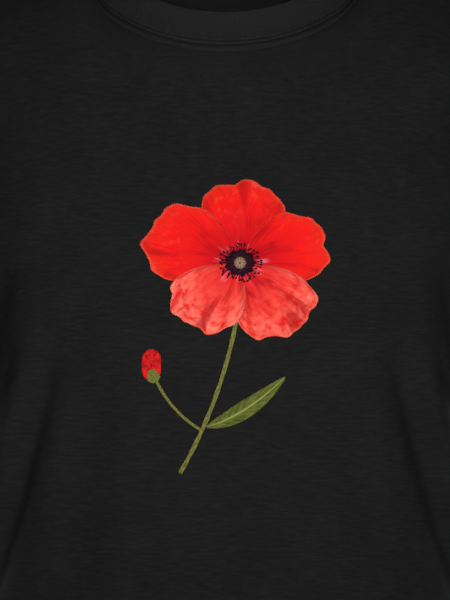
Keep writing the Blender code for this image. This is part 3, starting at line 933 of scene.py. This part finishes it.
# Streaks or blotches, drawn out by a stretch in each direction
def streaks(add, place, stretch, scale=1.0, detail=3.0, rough=0.5, distortion=0.0):
    drawn = add("ShaderNodeVectorMath", {0: place, 1: stretch}, operation="MULTIPLY")
    return add("ShaderNodeTexNoise", {"Vector": drawn, "Scale": scale, "Detail": detail, "Roughness": rough,
                                      "Distortion": distortion})


# How far each value has come from its low mark to its high one, gently at both ends
def masks(add, *marks):
    return [add("ShaderNodeMapRange", {"Value": value, "From Min": low, "From Max": high},
                interpolation_type="SMOOTHSTEP") for value, low, high in marks]


# Layers of dye or ink over a first tint, each with its share
def layered(add, tint, *layers):
    for share, shade in layers:
        tint = add("ShaderNodeMix", {0: share, 6: tint, 7: shade}, 2, data_type="RGBA")
    return tint


# Gives a material its tint, and its height as a fine relief
def surfaced(made, tint, height=None, strength=0.0, distance=0.0002):
    tree = made.node_tree
    shader = tree.nodes["Principled BSDF"]
    tree.links.new(tint, shader.inputs["Base Color"])
    if height is not None:
        relief = addNode(tree, "ShaderNodeBump", {"Height": height, "Strength": strength, "Distance": distance})
        tree.links.new(relief, shader.inputs["Normal"])
    return made


# How far a value is from the middle of its whole step
def offMiddle(value):
    return "ABSOLUTE", ("SUBTRACT", ("FRACT", value), 0.5)


def wave(value, length):
    return "SINE", ("MULTIPLY", value, 2 * math.pi / length)


# Stocking stitch: columns of Vs. Real wales are 0.8 mm wide; they are drawn at 1.5 mm, as finer ones shimmer.
knit = {"wale": 0.0015, "course": 0.0012}


def knitHeight(u, v):
    slant = offMiddle(("DIVIDE", u, knit["wale"]))
    loop = wave(("ADD", ("DIVIDE", v, knit["course"]), slant), 1)
    gap = ("POWER", ("MULTIPLY", slant, 2.0), 4.0)
    return "MULTIPLY_ADD", loop, 0.35, ("SUBTRACT", 1.0, gap)


# Cotton jersey dyed black: matt, with loops in columns and short slubs along its courses. Its tint is painted a
# little lighter on the raised loops and darker in the gaps between the wales, a painted shade of the knit's
# relief
def jerseyMaterial():
    made, add = newMaterial("black cotton jersey", Roughness=0.92, Specular_IOR_Level=0.14)
    flat, (u, v, _) = places(add)
    slubs = streaks(add, flat, (105, 560, 1), rough=0.60, distortion=0.4)  # about 10 mm long and 2 mm wide
    patches = streaks(add, flat, (1, 1, 1), 26.0, rough=0.6)
    height = knitHeight(u, v)
    tint = add("ShaderNodeValToRGB", {"Fac": ("MULTIPLY_ADD", patches, 0.3, ("MULTIPLY", slubs, 0.7))},
               stops=((0.26, "#0f0f0f"), (0.50, "#181818"), (0.76, "#212121")))
    # painted shade: the knit's height lightens the tint on the loops and darkens it in the gaps between them
    tint = layered(add, tint, (("MULTIPLY", height, 0.05), "#1f1f1f"))
    return surfaced(made, tint, ("MULTIPLY_ADD", slubs, 1.0, ("MULTIPLY", height, 0.3)), 0.36)


# Cotton rib of the same dye: matt and a little fuzzy, with its ribs standing up in the mesh; its courses are
# painted a little lighter on their ridges and darker between them, a painted shade
def ribMaterial():
    made, add = newMaterial("black cotton rib", Roughness=0.90, Specular_IOR_Level=0.16)
    flat, (_, v, _) = places(add)
    courses = wave(v, 0.0011)  # one course each 1.1 mm
    fuzz = streaks(add, flat, (700, 500, 1), detail=2.0)
    # painted shade: the courses wave lightens the tint on each course's ridge and darkens it in the groove
    tint = add("ShaderNodeValToRGB", {"Fac": ("MULTIPLY_ADD", courses, 0.08, fuzz)},
               stops=((0.20, "#0f0f0f"), (0.52, "#181818"), (0.85, "#222222")))
    return surfaced(made, tint, ("MULTIPLY_ADD", courses, 0.3, fuzz), 0.3)


# Cotton twill tape, woven in slanting lines 1.2 mm apart, with a faint sheen; its tint is painted lighter on
# the ridges of the lines and darker between them, a painted shade of the weave
def tapeMaterial():
    made, add = newMaterial("black cotton twill", Roughness=0.8, Specular_IOR_Level=0.3, Sheen_Weight=0.1)
    _, (u, v, _) = places(add)
    twill = wave(("ADD", u, v), 0.0012)
    # painted shade: the tint follows the twill's ridges, lighter on them and darker in the grooves
    tint = layered(add, "#111111", (("MULTIPLY_ADD", twill, 0.5, 0.5), "#1d1d1d"))
    return surfaced(made, tint, twill, 0.6)


# Spun polyester thread, a little glossier than the cloth, with its plies twisted round it every 0.5 mm; its
# tint is painted lighter on each ply and darker in the grooves between them, a painted shade of the twist
def threadMaterial():
    made, add = newMaterial("black spun thread", Roughness=0.75, Specular_IOR_Level=0.2)
    _, (x, _, z) = places(add, False)
    ply = wave(("ADD", x, z), 0.0005)
    # painted shade: the tint follows the ply wave, lighter on each ply and darker in the grooves
    tint = layered(add, "#0e0e0e", (("MULTIPLY_ADD", ply, 0.5, 0.5), "#1f1f1f"))
    return surfaced(made, tint, ply, 0.4, 0.0001)


# Water-based printing ink soaks into the knit, so it is matt and shows the loops below it
def newInk(name):
    return newMaterial(name, Roughness=0.72, Specular_IOR_Level=0.08)


def inked(made, add, tint):
    place, (x, _, z) = places(add, False)
    slubs = streaks(add, place, (38, 1, 820), rough=0.6)
    return surfaced(made, tint, ("MULTIPLY_ADD", slubs, 0.8, knitHeight(x, z)), 0.35)


# Red printing ink: petals with long soft folds, fine veins and crinkled coral rims
def petalMaterial():
    made, add = newInk("red printing ink")
    flat, (u, v, _) = places(add)
    tone = add("ShaderNodeAttribute", output="Fac", attribute_name="tone")
    radial = ("MULTIPLY_ADD", streaks(add, flat, (3, 2, 1), 1.6, 2.0), 0.24, ("SUBTRACT", v, 0.12))
    deep = add("ShaderNodeValToRGB", {"Fac": radial}, stops=(
        (0.06, "#54050f"), (0.20, "#b80916"), (0.42, "#e01217"), (0.78, "#f81a17"), (1.0, "#ec2718")))
    coral = add("ShaderNodeValToRGB", {"Fac": radial}, stops=(
        (0.06, "#a01426"), (0.25, "#ee2c2c"), (0.60, "#fb5648"), (1.0, "#ff8672")))
    folded = streaks(add, flat, (6, 1.4, 1), 1.0, 3.0, 0.55, 0.7)
    wander = ("MULTIPLY", ("SUBTRACT", streaks(add, flat, (8, 6, 1), detail=2.0), 0.5), 0.14)
    bent = add("ShaderNodeVectorMath", {0: flat, 1: wander}, operation="ADD")
    bent = add("ShaderNodeVectorMath", {0: bent, 1: (17, 12, 1)}, operation="MULTIPLY")
    ruffle = add("ShaderNodeTexVoronoi", {"Vector": bent, "Scale": 1.0, "Smoothness": 0.35}, "Distance",
                 feature="SMOOTH_F1")
    crinkle = streaks(add, flat, (16, 11, 1), 1.4, 4.0, 0.65, 1.2)
    rough = ("MULTIPLY_ADD", ("SUBTRACT", 0.40, ruffle), 0.8, ("SUBTRACT", crinkle, 0.5))
    outer, dark, hollow, vein, nearEye, pale, rim, side = masks(
        add, (v, 0.30, 0.95), (folded, 0.50, 0.28), (rough, -0.10, -0.32),
        (streaks(add, flat, (52, 1.6, 1), detail=2.0), 0.50, 0.72),
        (("ABSOLUTE", ("SUBTRACT", v, 0.25)), 0.10, 0.0), (folded, 0.52, 0.66), (v, 0.96, 0.99),
        (offMiddle(u), 0.34, 0.50))
    amount = ("MAXIMUM", ("MULTIPLY_ADD", tone, 0.75, 0.24), 0.14)
    lift = ("MULTIPLY", ("MULTIPLY", rough, amount), ("MULTIPLY_ADD", outer, 1.8, 0.4))
    light = ("ADD", tone, ("MULTIPLY_ADD", ("SUBTRACT", folded, 0.5), 0.75, lift))
    return inked(made, add, layered(
        add, deep, (add("ShaderNodeClamp", {"Value": light}), coral), (("MULTIPLY", dark, 0.75), "#ae0912"),
        (("MULTIPLY", hollow, ("MULTIPLY", outer, ("MULTIPLY", amount, 0.38))), "#c41820"),
        (("MULTIPLY", vein, 0.28), "#b40c18"), (("MULTIPLY", ("MULTIPLY", nearEye, pale), 0.5), "#ff8fa2"),
        (("MULTIPLY", rim, 0.30), "#ff7a5c"), (("MULTIPLY", side, 0.6), "#8c0614")))


def plainInk(name, dark, light, stretch):
    made, add = newInk(name)
    grain = streaks(add, places(add)[0], stretch, rough=0.6)
    return inked(made, add, layered(add, dark, (masks(add, (grain, 0.3, 0.7))[0], light)))


# A pale seed pod seen from above, with ribs like spokes
def podMaterial():
    made, add = newInk("pale printing ink")
    _, (u, v, _) = places(add)
    spoke, away = masks(add, (("COSINE", ("MULTIPLY", u, 2 * math.pi * 9)), 0.5, 0.95), (v, 0.12, 0.3))
    tint = add("ShaderNodeValToRGB", {"Fac": v}, stops=(
        (0.0, "#5e4133"), (0.35, "#a4896e"), (0.8, "#896c55"), (1.0, "#412423")))
    return inked(made, add, layered(add, tint, (("MULTIPLY", spoke, away), "#5a342c")))


# Green printing ink for the leaf, with a pale midrib and slanting side veins
def leafMaterial():
    made, add = newInk("leaf printing ink")
    flat, (u, v, _) = places(add)
    out = ("ABSOLUTE", ("SUBTRACT", u, 0.5))
    slant = ("SUBTRACT", ("MULTIPLY", v, 11.0), ("MULTIPLY", out, 3.5))
    grain = streaks(add, flat, (3, 9, 1), rough=0.6)
    vein, blotch, midrib = masks(add, (offMiddle(slant), 0.13, 0.02),
                                 (grain, 0.3, 0.7), (out, 0.07, 0.03))
    return inked(made, add, layered(add, "#434c1b", (blotch, "#656e2d"), (("MULTIPLY", vein, 0.45), "#7f863f"),
                                    (midrib, "#91944a")))


# What every piece is told: its material, its body and the solids it stands for, which are hidden; its slot is
# not used
def finish(piece, material, slot, *nodes):
    if material is not None:
        piece.data.materials.clear()
        piece.data.materials.append(material)
    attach(piece, "root")
    if nodes:
        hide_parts(*nodes)
    return piece


# Takes out the drape's smallest puckers, by blurring how far each point has moved
def settled(drapedGrid, wornGrid, closed):
    moved = drapedGrid - wornGrid
    for _ in range(drape["calming"]):
        for axis in (0, 1):
            moved = calmed(moved, wornGrid, axis, closed and axis == 1)
    return wornGrid + moved


# The grids of the worn pieces, draped and with their shared edges made equal again
def drapedPieces(wornGrids):
    grids = [settled(grid, start, i > 1) for i, (grid, start) in enumerate(zip(drapeShirt(), wornGrids))]
    joinEdges(*grids[:2], mesh)
    for sleeve, edge in zip(grids[2:], (-1, 0)):
        sleeve[0] = armholeRing(*grids[:2], mesh, edge)
    return [eased(grid) for grid in grids[:2]] + list(grids[2:])


drapedGrids = drapedPieces(allGrids(worn, mesh))
flatGrids = allFlatGrids(mesh)
print("draped")

jersey, rib, twill, thread = jerseyMaterial(), ribMaterial(), tapeMaterial(), threadMaterial()
sew = stitchTree()
frontCloth, frontOuter, frontRows = makePanel("front_cloth", front, drapedGrids[0], flatGrids[0])
backCloth, _, backRows = makePanel("back_cloth", back, drapedGrids[1], flatGrids[1])
leftSleeve, leftRows = makeSleeve("left_sleeve_cloth", drapedGrids[2], 1)
rightSleeve, rightRows = makeSleeve("right_sleeve_cloth", drapedGrids[3], -1)
band, neckTape = makeNeckband(), makeNeckTape()
print("cloth made")

for piece, material, slot, node in (
    (frontCloth, jersey, "jersey", "front_panel"), (backCloth, jersey, "jersey", "back_panel"),
    (leftSleeve, jersey, "jersey", "sleeve_left"), (rightSleeve, jersey, "jersey", "sleeve_right"),
    (band, rib, "rib", "neckband"), (neckTape, twill, "tape", "neck_tape"),
):
    finish(piece, material, slot, node)
for name, rows in (("front", frontRows), ("back", backRows),
                   ("left_sleeve", leftRows), ("right_sleeve", rightRows)):
    finish(makeStitches(f"{name}_stitches", rows, sew, thread), None, "jersey")
print("sewn")

# The outlines of the round pieces by angle, and of the strips by how far along they are
eyeRadius = lambda a: bloom["eyeRadius"] * (1 + 0.08 * np.cos(9 * a) + 0.05 * np.sin(17 * a))
podRadius = lambda a: bloom["podRadius"] * (1 + 0.07 * np.cos(9 * a))
budRadius = lambda a: bud["radius"] * (1 - 0.25 * np.cos(2 * a))
stemWidth = lambda t: stem["halfWidth"] * (1 + 0.10 * np.sin(40 * t))
leafWidth = lambda t: leaf["halfWidth"] * (0.10 + np.sin(math.pi * t) ** 0.8)
stalkWidth = lambda t: stalk["halfWidth"] * (1 + 0 * t)
calyxTaper = lambda t: np.sqrt(np.maximum(1 - t**2.2, 0)) * (0.35 + 0.65 * np.minimum(t * 4, 1))
calyxWidth = lambda t: calyx["halfWidth"] * calyxTaper(t)
chest = chestTree(frontOuter)
red, seed, veined = petalMaterial(), podMaterial(), leafMaterial()
dark = plainInk("dark printing ink", "#12050c", "#331022", (30, 3, 1))
green = plainInk("green printing ink", "#4c4d1d", "#868641", (4, 26, 1))
budInk = plainInk("bud printing ink", "#980714", "#e2241c", (14, 2, 1))
for number in range(len(bloom["petals"])):
    finish(makePetal(chest, number), red, "ink_red", "print_bloom")
lay = lambda name, layer, drawn: layInk(name, chest, drawn, layer)
for piece, material, slot, node in (
    (lay("flower_eye", 6, roundGrid(bloom["centre"], eyeRadius, 6, 72, bloom["squash"])),
     dark, "ink_dark", "print_eye"),
    (makeStamens(chest), dark, "ink_dark", "print_eye"),
    (lay("flower_pod", 7.5, roundGrid(bloom["centre"], podRadius, 4, 54)), seed, "ink_dark", "print_eye"),
    (lay("flower_stem", 1, stripGrid(stem["line"], stemWidth, 60)), green, "ink_green", "print_stem"),
    (lay("flower_leaf", 0, stripGrid(leaf["line"], leafWidth, 40, 9)), veined, "ink_green", "print_leaf"),
    (lay("flower_stalk", 0, stripGrid(stalk["line"], stalkWidth, 24)), green, "ink_green", "print_stalk"),
    (lay("flower_calyx", 2, stripGrid(calyx["line"], calyxWidth, 14, 9)), green, "ink_green", "print_bud"),
    (lay("flower_bud", 1, roundGrid(bud["centre"], budRadius, 6, 48)), budInk, "ink_red", "print_bud"),
):
    finish(piece, material, slot, node)
print("printed")

studio = {
    "floor": -1.40, "floorHalfWidth": 6.0, "sky": 0.10,
    # name, place, target, size, power, spread in degrees
    "lamps": (("key light", (-0.19, -1.35, -0.46), (0, -0.1, -0.12), 0.55, 1.23, 60),
              ("fill light", (0.8, -2.4, -0.40), (0, -0.1, -0.15), 0.8, 1.20, 34),
              ("neck light", (0, -1.2, 0.5), (0, 0.06, -0.045), 0.12, 0.037, 8),
              ("back light", (0.6, 2.2, 0.4), (0, 0, -0.3), 1.2, 43, 180),
              ("left light", (2.2, 1.3, 0.2), (0, 0, -0.3), 1.0, 18, 180),
              ("right light", (-2.2, 1.3, 0.2), (0, 0, -0.3), 1.0, 18, 180)),
}
wide, low = studio["floorHalfWidth"], studio["floor"]
floorCorners = [(-wide, -wide, low), (wide, -wide, low), (wide, wide, low), (-wide, wide, low)]
floor = newObject("floor", meshOf("floor", floorCorners, [(0, 1, 2, 3)]))
floorPaint, add = newMaterial("pale matt paint", Roughness=0.9)
floorGrain = streaks(add, places(add, False)[0], (1, 1, 1), 3.0)
floor.data.materials.append(surfaced(floorPaint, layered(add, "#dcdcda", (floorGrain, "#e6e6e4"))))

world = bpy.data.worlds.new("studio")
world.use_nodes = True
sky = world.node_tree.nodes["Background"].inputs
sky["Color"].default_value = colour("#e8e8ea")
sky["Strength"].default_value = studio["sky"]
bpy.context.scene.world = world

for name, place, target, size, power, spread in studio["lamps"]:
    data = bpy.data.lights.new(name, "AREA")
    data.shape = "DISK"
    data.size = size
    data.energy = power
    data.spread = math.radians(spread)
    lamp = newObject(name, data)
    lamp.location = place
    lamp.rotation_euler = (Vector(target) - Vector(place)).to_track_quat("-Z", "Y").to_euler()

# The camera stands straight in front of the chest, and sees this height of it
view = {"x": 0.0, "z": -0.2447, "distance": 3.0, "chest": -0.120, "tall": 0.400, "sensor": 24.0}
camera = newObject("camera", bpy.data.cameras.new("camera"))
camera.location = (view["x"], view["chest"] - view["distance"], view["z"])
camera.rotation_euler = (math.pi / 2, 0, 0)
camera.data.sensor_fit = "VERTICAL"
camera.data.sensor_height = view["sensor"]
camera.data.lens = view["sensor"] * view["distance"] / view["tall"]
bpy.context.scene.camera = camera
bpy.context.scene.view_settings.view_transform = "Standard"
